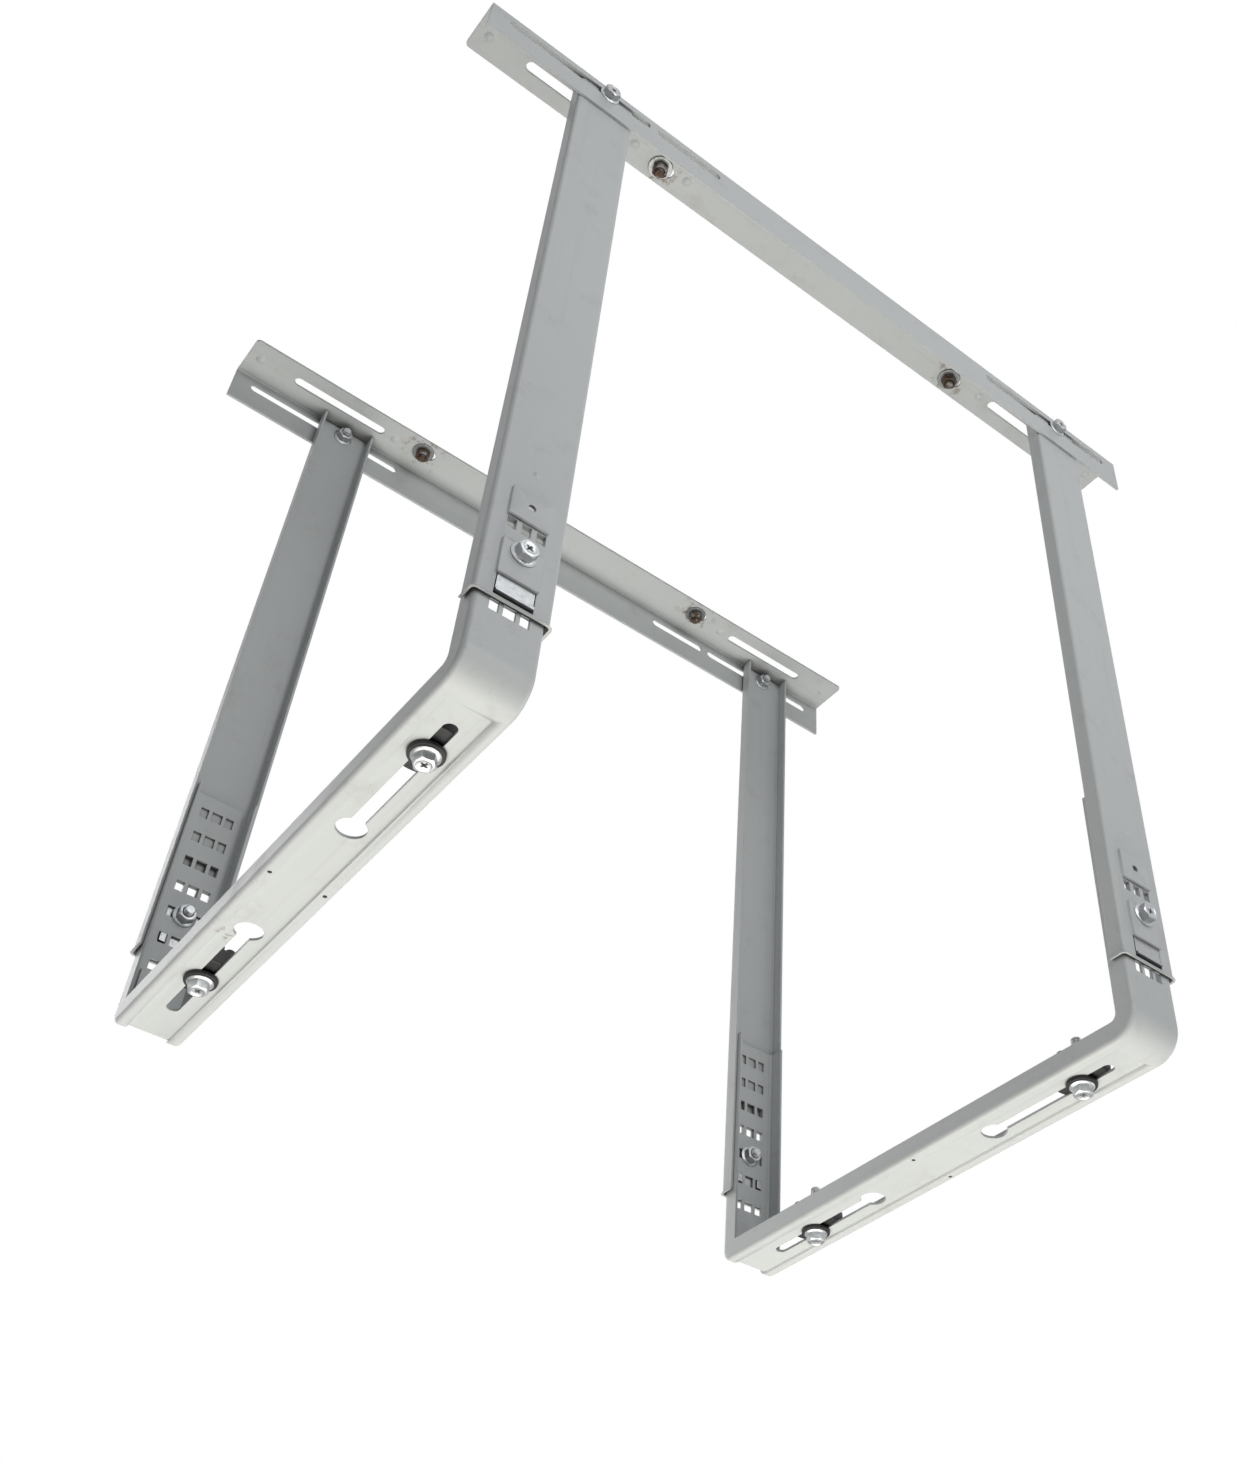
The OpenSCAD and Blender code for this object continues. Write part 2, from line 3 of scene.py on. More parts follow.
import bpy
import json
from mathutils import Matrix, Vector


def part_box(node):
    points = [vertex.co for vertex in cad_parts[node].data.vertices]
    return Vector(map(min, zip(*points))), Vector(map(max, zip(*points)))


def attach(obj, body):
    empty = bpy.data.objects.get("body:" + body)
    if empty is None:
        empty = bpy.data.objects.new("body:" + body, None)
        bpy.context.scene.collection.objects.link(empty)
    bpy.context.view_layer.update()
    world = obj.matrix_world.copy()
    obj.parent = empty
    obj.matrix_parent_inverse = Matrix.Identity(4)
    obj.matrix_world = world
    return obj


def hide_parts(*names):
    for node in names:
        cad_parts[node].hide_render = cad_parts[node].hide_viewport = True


bl_info = {
    "name": "Ceiling hanging bracket",
    "version": (1, 0, 0),
    "blender": (4, 5, 0),
    "location": "3D View > Sidebar > Bracket",
    "description": "Paints the packed bracket and dresses it with threaded fasteners and rubber pads",
    "category": "Object",
}

import json
import math

import bmesh
import bpy
from bpy.props import FloatProperty, FloatVectorProperty, IntProperty, PointerProperty
from mathutils import Matrix, Vector

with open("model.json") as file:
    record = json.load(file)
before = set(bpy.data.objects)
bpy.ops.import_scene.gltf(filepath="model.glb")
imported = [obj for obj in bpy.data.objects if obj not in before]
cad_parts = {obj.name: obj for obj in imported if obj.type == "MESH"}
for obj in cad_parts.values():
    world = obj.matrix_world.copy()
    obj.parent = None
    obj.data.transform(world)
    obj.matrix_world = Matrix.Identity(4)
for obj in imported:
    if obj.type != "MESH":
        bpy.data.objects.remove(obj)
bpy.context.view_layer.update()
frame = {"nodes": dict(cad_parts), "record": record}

SIDES = ("left", "right")
ENDS = ("front", "rear")
CORNERS = [f"{side}_{end}" for side in SIDES for end in ENDS]
RAILS = [f"{end}_rail" for end in ENDS]
LEGS = [f"{corner}_leg" for corner in CORNERS]
ARMS = [f"{side}_arm" for side in SIDES]
UP = Vector((0, 0, 1))
IMAGE_W, IMAGE_H = 1236, 1463


def across(node, axis):
    """Length of a node along one axis, in metres."""
    low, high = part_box(node)
    return high[axis] - low[axis]


def middle(node):
    low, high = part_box(node)
    return (low + high) / 2


# ---------------------------------------------------------------- shader maths


class Wire:
    """A socket of a shader tree. An expression on wires adds the Math nodes that work it out."""

    def __init__(self, finish, socket):
        self.finish = finish
        self.socket = socket

    def _math(self, operation, *values):
        return self.finish.node("ShaderNodeMath", dict(enumerate(values)), operation=operation)

    def __add__(self, other):
        return self._math("ADD", self, other)

    __radd__ = __add__

    def __mul__(self, other):
        return self._math("MULTIPLY", self, other)

    __rmul__ = __mul__

    def __sub__(self, other):
        return self._math("SUBTRACT", self, other)

    def __rsub__(self, other):
        return self._math("SUBTRACT", other, self)

    def larger(self, other):
        return self._math("MAXIMUM", self, other)

    def step(self, low, high):
        """0 below low and 1 above high, with a smooth change between them. It falls where low is the larger."""
        ends = {"From Min": low, "From Max": high}
        return self.finish.node("ShaderNodeMapRange", {"Value": self, **ends}, interpolation_type="SMOOTHSTEP")


class Finish:
    """A material or world, and the nodes of its tree."""

    def __init__(self, owner):
        self.owner = owner
        owner.use_nodes = True
        self.tree = owner.node_tree
        self.tree.nodes.clear()

    def node(self, kind, inputs=None, output=0, **settings):
        """Adds a node of that kind: its settings first, then the values or wires of its sockets."""
        made = self.tree.nodes.new(kind)
        for name, value in settings.items():
            setattr(made, name, value)
        for key, value in (inputs or {}).items():
            if isinstance(value, Wire):
                self.tree.links.new(value.socket, made.inputs[key])
            else:
                made.inputs[key].default_value = value
        return Wire(self, made.outputs[output]) if made.outputs else None

    def place(self):
        return self.node("ShaderNodeTexCoord", output="Object")

    def stretched(self, place, scale, turn=(0, 0, 0)):
        return self.node("ShaderNodeMapping", {"Vector": place, "Scale": scale, "Rotation": turn})

    def noise(self, place, scale, detail=2.0, roughness=0.5):
        values = {"Vector": place, "Scale": scale, "Detail": detail, "Roughness": roughness}
        return self.node("ShaderNodeTexNoise", values)

    def cells(self, place, scale, feature="F1", output="Distance"):
        return self.node("ShaderNodeTexVoronoi", {"Vector": place, "Scale": scale}, output, feature=feature)

    def mix(self, share, first, second):
        """A colour between two colours."""
        return self.node("ShaderNodeMix", {0: share, 6: first, 7: second}, 2, data_type="RGBA")

    def near(self, place, point):
        """Distance from a point, in metres."""
        return self.node("ShaderNodeVectorMath", {0: place, 1: point}, "Value", operation="DISTANCE")

    def bump(self, height, distance, under=None, strength=1.0):
        values = {"Height": height, "Distance": distance, "Strength": strength}
        if under is not None:
            values["Normal"] = under
        return self.node("ShaderNodeBump", values)

    def softened(self, radius):
        """Normals that round the sharp edges of a sheet."""
        return self.node("ShaderNodeBevel", {"Radius": radius}, samples=4)

    def corners(self, reach):
        """1 in a narrow corner that little light reaches, 0 on an open face: the mask of painted shade."""
        return self.node("ShaderNodeAmbientOcclusion", {"Distance": reach}, "AO", samples=16).step(0.75, 0.25)

    def worn_edge(self, radius):
        """1 on a sharp edge, 0 on a flat face."""
        soft = self.softened(radius)
        flat = self.node("ShaderNodeNewGeometry", output="Normal")
        facing = self.node("ShaderNodeVectorMath", {0: soft, 1: flat}, "Value", operation="DOT_PRODUCT")
        return facing.step(0.97, 0.80)

    def surface(self, **values):
        """Ends the tree in a Principled shader. Underscores in the names stand for spaces."""
        named = {key.replace("_", " "): value for key, value in values.items()}
        shader = self.node("ShaderNodeBsdfPrincipled", named)
        self.node("ShaderNodeOutputMaterial", {"Surface": shader})
        return self.owner


def new_finish(name):
    return Finish(bpy.data.materials.new(name))


def opaque(colour):
    return (*colour, 1.0)


def shade(colour, factor):
    """The same colour, lighter or darker."""
    return opaque([min(1.0, c * factor) for c in colour])


# ------------------------------------------------------------------- finishes


def painted_steel(name, look, along, stains=(), shade_reach=0.010):
    """Powder-coated sheet: orange peel, faint streaks along the sheet, dust, and rust round the given points."""
    f = new_finish(name)
    place = f.place()
    spread = [4.0 if axis == along else 130.0 for axis in range(3)]
    streaks = f.noise(f.stretched(place, spread), 1.0, 4.0, 0.6)
    broad = f.noise(place, 7.0, 2.0)
    smudges = f.noise(place, 34.0, 6.0, 0.68)
    specks = f.cells(place, 240.0)
    grain = f.noise(place, 2100.0, 2.0)
    peel = f.noise(place, 620.0, 1.0)
    edge = f.worn_edge(0.0011)

    grime = (smudges.step(0.53, 0.72) * 0.55 + streaks.step(0.55, 0.74) * 0.35) * look.grime
    colour = f.mix(broad, shade(look.paint, 0.965), shade(look.paint, 1.035))
    colour = f.mix(grime, colour, opaque(look.dust))
    colour = f.mix(specks.step(0.11, 0.05) * smudges.step(0.50, 0.60) * 0.55, colour, shade(look.dust, 0.45))
    colour = f.mix(edge * look.edge_wear, colour, shade(look.paint, 1.18))
    # Painted shade: a dark dust colour in slots and inner corners, where little light reaches.
    colour = f.mix(f.corners(shade_reach) * look.corner_shade, colour, shade(look.dust, 0.30))
    if stains:
        reach = None
        for point, radius in stains:
            ring = f.near(place, point).step(radius, radius * 0.35)
            reach = ring if reach is None else reach.larger(ring)
        rust = reach * f.noise(place, 120.0, 5.0, 0.62).step(0.53, 0.64)
        colour = f.mix(rust * 0.75, colour, opaque(look.rust))
    roughness = 0.36 + 0.10 * broad + 0.28 * grime + 0.06 * grain
    normal = f.bump(peel + 0.25 * grain, 0.00006, f.softened(0.0008), 0.35)
    return f.surface(Base_Color=colour, Roughness=roughness, Normal=normal, IOR=1.48)


def zinc_plate(name, look, along=2, level=1.0):
    """Zinc with a faint spangle, handling marks, dull spots and painted shade in its corners."""
    f = new_finish(name)
    place = f.place()
    spangle = f.cells(place, 420.0, output="Color")
    cloud = f.noise(place, 160.0, 5.0, 0.65)
    spread = [60.0 if axis == along else 1500.0 for axis in range(3)]
    brushing = f.noise(f.stretched(place, spread), 1.0, 3.0)
    dull = f.noise(place, 420.0, 5.0, 0.7).step(0.56, 0.68)
    edge = f.worn_edge(0.0006)

    # level lightens or darkens the zinc; for the clamp and foot bolts it holds painted shade and painted light.
    tint = [c * level for c in look.zinc]
    colour = f.mix(spangle, shade(tint, 0.88), shade(tint, 1.08))
    colour = f.mix(dull * 0.45, colour, shade(tint, 0.62))
    colour = f.mix(edge * 0.5, colour, shade(tint, 1.2))
    # Painted shade: darker in corners and recesses, where little light reaches.
    colour = f.mix(f.corners(0.003) * 0.8, colour, shade(look.dust, 0.35))
    roughness = 0.22 + 0.20 * cloud + 0.10 * brushing + 0.22 * dull
    normal = f.bump(brushing + 0.6 * cloud, 0.00004, f.softened(0.00035), 0.5)
    return f.surface(Base_Color=colour, Roughness=roughness, Metallic=0.92 - 0.5 * dull, Normal=normal)


def moulded_rubber(name, look):
    """Black rubber: a fine moulded grain, a little bloom and dust."""
    f = new_finish(name)
    place = f.place()
    bloom = f.noise(place, 90.0, 5.0, 0.65)
    dust = f.noise(place, 700.0, 6.0, 0.75).step(0.57, 0.70) * bloom.step(0.40, 0.62)
    grain = f.noise(place, 3200.0, 2.0)

    colour = f.mix(bloom, shade(look.rubber, 0.75), shade(look.rubber, 1.5))
    colour = f.mix(dust * 0.5, colour, opaque(look.dust))
    roughness = 0.46 + 0.16 * bloom + 0.3 * dust
    normal = f.bump(grain + 0.8 * bloom, 0.00008, f.softened(0.0005), 0.6)
    return f.surface(Base_Color=colour, Roughness=roughness, Normal=normal, IOR=1.5)


def rusted_steel(name, look):
    """Plated steel that has rusted: brown scale with the last of the zinc on its high spots."""
    f = new_finish(name)
    place = f.place()
    scale = f.noise(place, 380.0, 7.0, 0.72)
    patches = f.noise(place, 150.0, 4.0, 0.6)
    pits = f.cells(place, 900.0)
    bare = patches.step(0.48, 0.62) * 0.8

    colour = f.mix(scale.step(0.36, 0.64), shade(look.rust, 0.22), shade(look.rust, 0.72))
    colour = f.mix(bare, colour, shade(look.zinc, 0.52))
    # Painted shade: near black in corners and recesses, where little light reaches.
    colour = f.mix(f.corners(0.004) * 0.8, colour, shade(look.rust, 0.12))
    roughness = 0.82 - 0.36 * bare + 0.08 * scale
    normal = f.bump(scale + 0.4 * pits, 0.00022, f.softened(0.0004), 0.8)
    return f.surface(Base_Color=colour, Roughness=roughness, Metallic=bare * 0.8, Normal=normal)


# -------------------------------------------------------------- turned pieces


class Turning:
    """A skin grown round the Z axis, one loop of points after another."""

    def __init__(self, segments):
        self.bm = bmesh.new()
        self.segments = segments
        self.first = self.last = None

    def start(self, radius, height, capped=True):
        made = bmesh.ops.create_circle(self.bm, cap_ends=capped, segments=self.segments, radius=1.0)
        self._shape(made["verts"], radius, height)
        self.first = self.last = list({e for v in made["verts"] for e in v.link_edges})
        return self

    def grow(self, radius, height):
        """Carries the skin on to the next loop. Radius and height may be functions of the angle."""
        made = bmesh.ops.extrude_edge_only(self.bm, edges=self.last)["geom"]
        points = {g for g in made if isinstance(g, bmesh.types.BMVert)}
        self.last = [g for g in made if isinstance(g, bmesh.types.BMEdge) and points.issuperset(g.verts)]
        self._shape(points, radius, height)
        return self

    def _shape(self, points, radius, height):
        for point in points:
            angle = math.atan2(point.co.y, point.co.x)
            r = radius(angle) if callable(radius) else radius
            z = height(angle) if callable(height) else height
            point.co = (r * math.cos(angle), r * math.sin(angle), z)

    def hexagon(self, flats, top, foot, chamfer):
        """The six sides of a head or nut between two heights, chamfered at the top one."""
        def corner(angle):
            return flats / 2 / math.cos((angle + math.pi / 6) % (math.pi / 3) - math.pi / 6)

        down = math.copysign(1.0, foot - top)
        rim = flats / 2 * 0.97
        self.grow(rim - chamfer, top)
        self.grow(rim, top + down * chamfer * 0.35)
        self.grow(corner, lambda angle: top + down * (chamfer * 0.35 + 0.58 * (corner(angle) - rim)))
        self.grow(corner, foot)
        return self

    def flange(self, flats, seat_d, foot, seat):
        """The sloping flange between a hexagon's foot and the seat that it clamps with."""
        down = math.copysign(1.0, seat - foot)
        rim = seat_d / 2
        self.grow(lambda angle: flats / 2 * 1.19, foot + down * 0.00012)
        self.grow(rim - 0.0004, seat - down * 0.0008)
        self.grow(rim, seat - down * 0.0005)
        self.grow(rim, seat - down * 0.0001)
        self.grow(rim - 0.0002, seat)
        return self

    def cross(self, reach, width, foot, deep):
        """A cross recess from the face at the height foot to the height deep."""
        def outline(angle):
            turn = (angle + math.pi / 4) % (math.pi / 2) - math.pi / 4
            side = width / 2 / max(abs(math.sin(turn)), 0.001)
            return min(reach, side)

        self.start(lambda angle: 0.45 * outline(angle), deep)
        self.grow(lambda angle: 0.9 * outline(angle), foot + (deep - foot) * 0.25)
        self.grow(outline, foot)
        return self

    def thread(self, outer, foot, end, pitch, depth):
        """A helical thread from one height to another, which fades in and out."""
        rows = max(6, round(abs(end - foot) / pitch * 6))
        for row in range(rows + 1):
            height = foot + (end - foot) * row / rows
            fade = min(1.0, row / 5, (rows - row) / 3)

            def ridge(angle, height=height, fade=fade):
                turn = (height / pitch - angle / math.tau) % 1.0
                return outer - depth * fade * (1.0 - min(1.0, abs(turn * 2 - 1) * 1.25))

            self.grow(ridge, height)
        return self

    def close(self):
        bmesh.ops.edgeloop_fill(self.bm, edges=self.last)
        return self.bm

    def join_ends(self):
        """Joins the last loop to the first one, for a piece with a bore."""
        bmesh.ops.bridge_loops(self.bm, edges=self.last + self.first)
        return self.bm


def place_piece(bm, name, finish, matrix, nodes=(), sharp=32):
    """Puts a mesh where it belongs, with outward faces, its finish and its ride on the frame."""
    bmesh.ops.recalc_face_normals(bm, faces=bm.faces)
    bmesh.ops.transform(bm, matrix=matrix, verts=bm.verts)
    mesh = bpy.data.meshes.new(name)
    bm.to_mesh(mesh)
    bm.free()
    mesh.shade_smooth()
    mesh.set_sharp_from_angle(angle=math.radians(sharp))
    mesh.materials.append(finish)
    piece = bpy.data.objects.new(name, mesh)
    bpy.context.scene.collection.objects.link(piece)
    weighted = piece.modifiers.new("flat_faces_stay_flat", "WEIGHTED_NORMAL")
    weighted.keep_sharp = True
    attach(piece, "root")
    if nodes:
        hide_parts(*nodes)
    return piece


def facing(point, axis, twist=0.0):
    """A matrix that sets a piece turned about Z on a point, pointing along the axis."""
    turn = UP.rotation_difference(axis).to_matrix().to_4x4()
    return Matrix.Translation(point) @ turn @ Matrix.Rotation(twist, 4, "Z")


def clamp_axis(node):
    """Direction of a clamping bolt's thread: from the frame's outside to its inside."""
    return Vector((0, 1, 0)) if "front" in node else Vector((0, -1, 0))


def twist_of(node):
    """How far a fastener happens to be turned, the same in each run."""
    return sum(ord(letter) * (place + 3) for place, letter in enumerate(node)) % 60 * math.pi / 180


def bolt_mesh(size, length, core_d, core_l):
    """Flange bolt with its seat at z = 0, the head below and the thread above."""
    seat, head = size.flange_t, size.flange_t + size.head_h
    t = Turning(48)
    t.cross(size.flats * 0.21, size.flats * 0.13, 0.0006 - head, 0.0026 - head)
    t.grow(size.flats * 0.27, 0.0006 - head).grow(size.flats * 0.36, 0.0003 - head)
    t.grow(size.flats * 0.39, -head)
    t.hexagon(size.flats, -head, -seat, 0.0006).flange(size.flats, size.flange_d, -seat, 0.0)
    t.grow(core_d / 2, 0.0).grow(core_d / 2, core_l * 0.98)
    t.thread(size.thread_d / 2, core_l, length - 0.0009, size.pitch, size.pitch * 0.5)
    t.grow(size.thread_d / 2 - 0.0009, length)
    return t.close()


def nut_mesh(size, bore_d):
    """Flange nut with its seat at z = 0, the flange below and the hexagon above."""
    top = size.flange_t + size.nut_h
    t = Turning(48)
    t.start(bore_d / 2, 0.0009, capped=False).grow(bore_d / 2, top - 0.0007).grow(bore_d / 2 + 0.0006, top)
    t.hexagon(size.flats, top, size.flange_t, 0.0006).flange(size.flats, size.flange_d, size.flange_t, 0.0)
    t.grow(bore_d / 2 + 0.0006, 0.0)
    return t.join_ends()


def washer_mesh(outer_d, bore_d, thick, soft):
    """Flat ring with rounded rims, from z = 0 up."""
    t = Turning(64)
    rim, bore = outer_d / 2, bore_d / 2
    t.start(bore, thick * 0.5, capped=False).grow(bore, soft * 0.5).grow(bore + soft * 0.5, 0.0)
    for k in range(7):
        a = k / 6 * math.pi / 2
        t.grow(rim - soft + soft * math.sin(a), soft - soft * math.cos(a))
    for k in range(7):
        a = k / 6 * math.pi / 2
        t.grow(rim - soft + soft * math.cos(a), thick - soft + soft * math.sin(a))
    t.grow(bore + soft * 0.5, thick).grow(bore, thick - soft * 0.5)
    return t.join_ends()


def knob_mesh(bm, place, d, foot, top, round_r):
    """A knob with a domed rim, added to a pad's mesh."""
    t = Turning(20)
    t.start(d / 2 + 0.0004, foot - 0.0005).grow(d / 2 + 0.0002, foot + 0.0003).grow(d / 2, top - round_r)
    for k in range(1, 6):
        a = k / 5 * math.pi / 2
        t.grow(d / 2 - round_r + round_r * math.cos(a), top - round_r + round_r * math.sin(a))
    t.grow(d * 0.12, top + 0.0)
    knob = t.close()
    bmesh.ops.translate(knob, vec=place, verts=knob.verts)
    mesh = bpy.data.meshes.new("knob")
    knob.to_mesh(mesh)
    knob.free()
    bm.from_mesh(mesh)
    bpy.data.meshes.remove(mesh)


# -------------------------------------------------------------------- settings


class BracketLook(bpy.types.PropertyGroup):
    """Colours and wear of the bracket's finishes."""

    paint: FloatVectorProperty(
        name="Paint", description="Colour of the powder coat on the sheet steel",
        subtype="COLOR", size=3, min=0, max=1, default=(0.56, 0.585, 0.59))
    zinc: FloatVectorProperty(
        name="Zinc", description="Colour of the plated bolts, nuts and lock plates",
        subtype="COLOR", size=3, min=0, max=1, default=(0.62, 0.64, 0.66))
    rubber: FloatVectorProperty(
        name="Rubber", description="Colour of the pads and washers",
        subtype="COLOR", size=3, min=0, max=1, default=(0.016, 0.016, 0.018))
    rust: FloatVectorProperty(
        name="Rust", description="Colour of rusted steel and of the stains round it",
        subtype="COLOR", size=3, min=0, max=1, default=(0.20, 0.125, 0.08))
    # Darkened, this colour also serves as the painted shade in corners.
    dust: FloatVectorProperty(
        name="Dust", description="Colour of the dirt that lies on the paint and the rubber",
        subtype="COLOR", size=3, min=0, max=1, default=(0.30, 0.285, 0.255))
    grime: FloatProperty(
        name="Grime", description="How much dirt shows on the paint",
        subtype="FACTOR", min=0, max=1, default=0.32)
    edge_wear: FloatProperty(
        name="Edge wear", description="How far the paint is rubbed lighter along sharp edges",
        subtype="FACTOR", min=0, max=1, default=0.2)
    # Strength of the painted shade that darkens slots and inner corners.
    corner_shade: FloatProperty(
        name="Corner shade", description="How dark the painted shade in slots and inner corners is",
        subtype="FACTOR", min=0, max=1, default=0.8)


class FastenerSizes(bpy.types.PropertyGroup):
    """Sizes of the flange bolts and nuts, and of the ceiling anchors."""

    flats: FloatProperty(
        name="Across flats", description="Width of a head or nut between two flat sides",
        unit="LENGTH", default=0.013)
    flange_d: FloatProperty(
        name="Flange diameter", description="Diameter of the flange under a head or nut",
        unit="LENGTH", default=across("left_front_rail_bolt", 0))
    flange_t: FloatProperty(
        name="Flange thickness", description="Thickness of the flange where the hexagon stands on it",
        unit="LENGTH", default=0.0015)
    head_h: FloatProperty(
        name="Head height", description="Height of a bolt head above its flange",
        unit="LENGTH", default=0.006)
    nut_h: FloatProperty(
        name="Nut height", description="Height of a nut above its flange",
        unit="LENGTH", default=0.0065)
    thread_d: FloatProperty(
        name="Thread diameter", description="Outer diameter of the thread",
        unit="LENGTH", default=0.008)
    pitch: FloatProperty(
        name="Thread pitch", description="Distance between two turns of the thread",
        unit="LENGTH", default=0.00125)
    anchor_washer_d: FloatProperty(
        name="Anchor washer", description="Diameter of the washers under the ceiling flange",
        unit="LENGTH", default=0.022)
    anchor_reach: FloatProperty(
        name="Anchor reach", description="How far an anchor's thread hangs below its nut",
        unit="LENGTH", default=0.004)


class PadSizes(bpy.types.PropertyGroup):
    """Sizes of the rubber pads on the arms."""

    knobs_outer: IntProperty(
        name="Outer knobs", description="Number of knobs in a pad's outer ring", min=6, max=16, default=12)
    knobs_inner: IntProperty(
        name="Inner knobs", description="Number of knobs in a pad's inner ring", min=4, max=10, default=8)
    knob_d: FloatProperty(
        name="Outer knob", description="Diameter of a knob in the outer ring", unit="LENGTH", default=0.0074)
    knob_inner_d: FloatProperty(
        name="Inner knob", description="Diameter of a knob in the inner ring", unit="LENGTH", default=0.005)
    knob_h: FloatProperty(
        name="Knob height", description="How far the knobs stand above the pad", unit="LENGTH", default=0.004)
    boss_d: FloatProperty(
        name="Boss", description="Diameter of the boss in a pad's middle", unit="LENGTH", default=0.017)
    bore_d: FloatProperty(
        name="Bore", description="Diameter of the hole for the foot bolt", unit="LENGTH", default=0.0082)


class StudioSetup(bpy.types.PropertyGroup):
    """Camera, lamps and floor."""

    focal: FloatProperty(
        name="Focal length", description="Camera lens for a sensor 36 mm high",
        unit="CAMERA", default=1654.8937 / IMAGE_H * 36)
    floor_drop: FloatProperty(
        name="Floor", description="Distance of the floor below the ceiling plane", unit="LENGTH", default=2.2)
    ambient: FloatProperty(
        name="Ambient light", description="Level of the light from all round", min=0, max=2, default=0.15)
    under: FloatProperty(
        name="Light from below", description="Power of the large lamp under the bracket",
        unit="POWER", default=27.0)
    warmth: FloatVectorProperty(
        name="Colour from below", description="Colour of the large lamp under the bracket",
        subtype="COLOR", size=3, min=0, max=1, default=(1.0, 0.965, 0.88))
    side: FloatProperty(
        name="Light from the right", description="Power of the lamp at the lower right",
        unit="POWER", default=8.0)
    fore: FloatProperty(
        name="Light from the front", description="Power of the lamp in front", unit="POWER", default=7.4)
    back: FloatProperty(
        name="Light from behind", description="Power of the lamp behind, above the ceiling plane",
        unit="POWER", default=34.0)


# ------------------------------------------------------------------- operators


class BRACKET_OT_painted_sheet(bpy.types.Operator):
    """Gives the rails, legs and arms smooth bends and their painted finish"""

    bl_idname = "bracket.painted_sheet"
    bl_label = "Painted sheet"

    def execute(self, context):
        look = context.scene.bracket_look
        anchors = [(tuple(anchor_point(corner)), 0.030) for corner in CORNERS]
        foot = middle("left_rear_foot_bolt")
        smear = (foot.x - 0.008, foot.y - 0.058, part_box("left_arm")[0].z)
        groups = [
            # The rails take a wider reach of painted shade, so their slots and inner corner read dark.
            (RAILS, painted_steel("painted_rail", look, 0, anchors, 0.030)),
            (LEGS, painted_steel("painted_leg", look, 2)),
            (ARMS, painted_steel("painted_arm", look, 1, [(smear, 0.014)])),
        ]
        for nodes, finish in groups:
            for node in nodes:
                bm = bmesh.new()
                bm.from_mesh(frame["nodes"][node].data)
                bmesh.ops.remove_doubles(bm, verts=bm.verts, dist=0.00001)
                place_piece(bm, f"{node}_sheet", finish, Matrix.Identity(4), [node], 24)
        return {"FINISHED"}


class BRACKET_OT_lock_plates(bpy.types.Operator):
    """Gives the lock plates their zinc finish"""

    bl_idname = "bracket.lock_plates"
    bl_label = "Lock plates"

    def execute(self, context):
        finish = zinc_plate("zinc_plate", context.scene.bracket_look, 2, 0.62)
        for corner in CORNERS:
            node = frame["nodes"][f"{corner}_lock_plate"]
            node.data.materials.clear()
            node.data.materials.append(finish)
        return {"FINISHED"}


class BRACKET_OT_clamp_bolts(bpy.types.Operator):
    """Makes the bolts and nuts that clamp the legs to the rails and to the arms"""

    bl_idname = "bracket.clamp_bolts"
    bl_label = "Clamp bolts and nuts"

    def execute(self, context):
        size = context.scene.bracket_fasteners
        # Painted shade: the clamp bolts' zinc is darker than the same zinc on the foot bolts, as their faces get
        # less light.
        finish = zinc_plate("zinc_fastener_shaded", context.scene.bracket_look, 1, 0.74)
        head = size.flange_t + size.head_h
        for corner in CORNERS:
            for joint in ("rail", "height"):
                node = f"{corner}_{joint}_bolt"
                axis = clamp_axis(node)
                length = across(node, 1) - head
                seat = middle(node) + axis * (head - across(node, 1) / 2)
                mesh = bolt_mesh(size, length, size.thread_d, length / 2)
                place_piece(mesh, f"{node}_threaded", finish, facing(seat, axis, twist_of(node)), [node])
                node = f"{corner}_{joint}_nut"
                seat = middle(node) - axis * across(node, 1) / 2
                mesh = nut_mesh(size, size.thread_d + 0.0001)
                place_piece(mesh, f"{node}_threaded", finish, facing(seat, axis, twist_of(node)), [node])
        return {"FINISHED"}


class BRACKET_OT_foot_bolts(bpy.types.Operator):
    """Makes the foot bolts and nuts that hold the unit's feet"""

    bl_idname = "bracket.foot_bolts"
    bl_label = "Foot bolts and nuts"

    def execute(self, context):
        size = context.scene.bracket_fasteners
        core_d = 0.0076
        # Painted light: the foot bolts' zinc is lighter than the same zinc on the clamp bolts, as they face the
        # light from below.
        finish = zinc_plate("zinc_foot_fastener_lit", context.scene.bracket_look, 2, 1.12)
        for corner in CORNERS:
            node, nut = f"{corner}_foot_bolt", f"{corner}_foot_nut"
            low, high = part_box(node)
            spot = middle(node)
            seat = Vector((spot.x, spot.y, low.z + size.flange_t + size.head_h))
            core_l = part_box(nut)[1].z - seat.z
            mesh = bolt_mesh(size, high.z - seat.z, core_d, core_l)
            place_piece(mesh, f"{node}_threaded", finish, facing(seat, UP, twist_of(node)), [node])
            seat = Vector((spot.x, spot.y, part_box(nut)[0].z))
            mesh = nut_mesh(size, core_d + 0.0001)
            place_piece(mesh, f"{nut}_threaded", finish, facing(seat, UP, twist_of(nut)), [nut])
        return {"FINISHED"}


